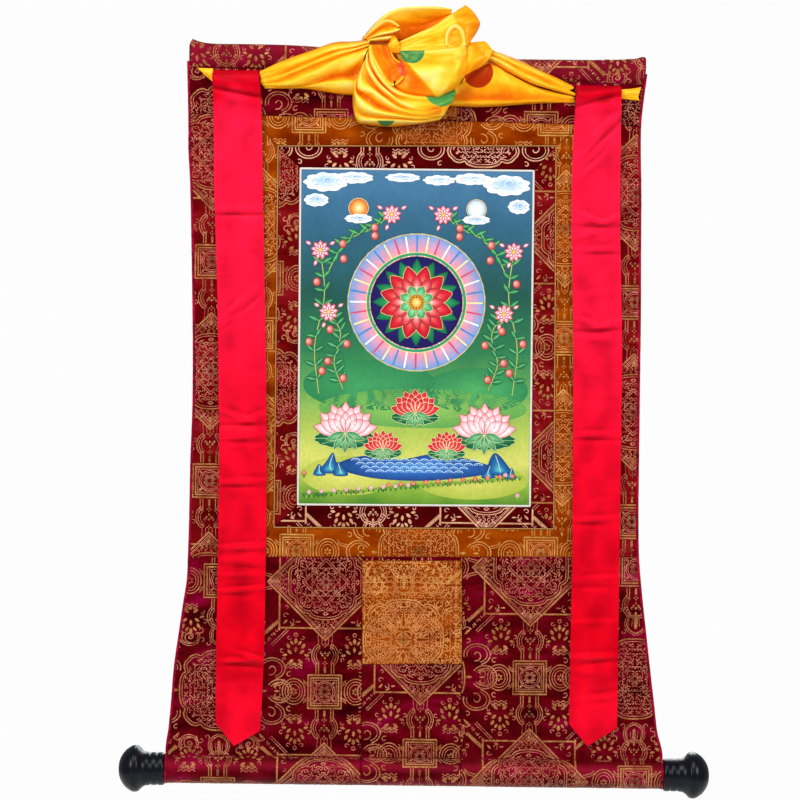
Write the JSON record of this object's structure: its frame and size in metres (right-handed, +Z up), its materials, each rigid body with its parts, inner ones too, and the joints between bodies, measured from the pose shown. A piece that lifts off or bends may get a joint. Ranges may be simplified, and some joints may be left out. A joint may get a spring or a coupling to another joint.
{
  "type": "thangka scroll painting with bottom roller",
  "caption": "Brocade-mounted hanging scroll painting with two satin ribbons, a gathered silk veil and a roller with turned knobs in its bottom hem.",
  "frame": {"origin": "middle of the top edge, in the plane of the hanging cloth", "axes": "+Z up along the scroll's height, +X to the right as seen from the front, the front faces -Y"},
  "size_m": [0.7807, 0.0852, 1.0452],
  "materials": {
    "brocade_maroon": "maroon satin brocade with gold thread",
    "brocade_ochre": "ochre satin brocade with gold thread",
    "painted_canvas": "painted cotton canvas",
    "white_cord": "twisted cotton cord",
    "gold_cord": "twisted gold cord",
    "red_binding": "folded red satin tape",
    "red_satin": "red satin",
    "yellow_silk": "yellow silk satin with woven spots",
    "roller_wood": "plain sanded softwood",
    "black_lacquer": "turned wood, gloss black lacquer"
  },
  "bodies": {
    "root": {"heaven_panel": "brocade_maroon", "side_strip_left": "brocade_maroon", "side_strip_right": "brocade_maroon", "earth_panel_left": "brocade_maroon", "earth_panel_middle": "brocade_maroon", "earth_panel_right": "brocade_maroon", "inner_border_top": "brocade_maroon", "inner_border_bottom": "brocade_maroon", "inner_border_left": "brocade_maroon", "inner_border_right": "brocade_maroon", "gold_border_top": "brocade_ochre", "gold_border_bottom": "brocade_ochre", "gold_border_left": "brocade_ochre", "gold_border_right": "brocade_ochre", "heaven_patch": "brocade_ochre", "door_patch": "brocade_ochre", "painting": "painted_canvas", "piping": "white_cord", "gold_piping": "gold_cord", "edge_binding_left": "red_binding", "edge_binding_right": "red_binding", "ribbon_left": "red_satin", "ribbon_right": "red_satin", "veil": "yellow_silk", "roller": "roller_wood", "knob_left": "black_lacquer", "knob_right": "black_lacquer"}
  },
  "joints": []
}
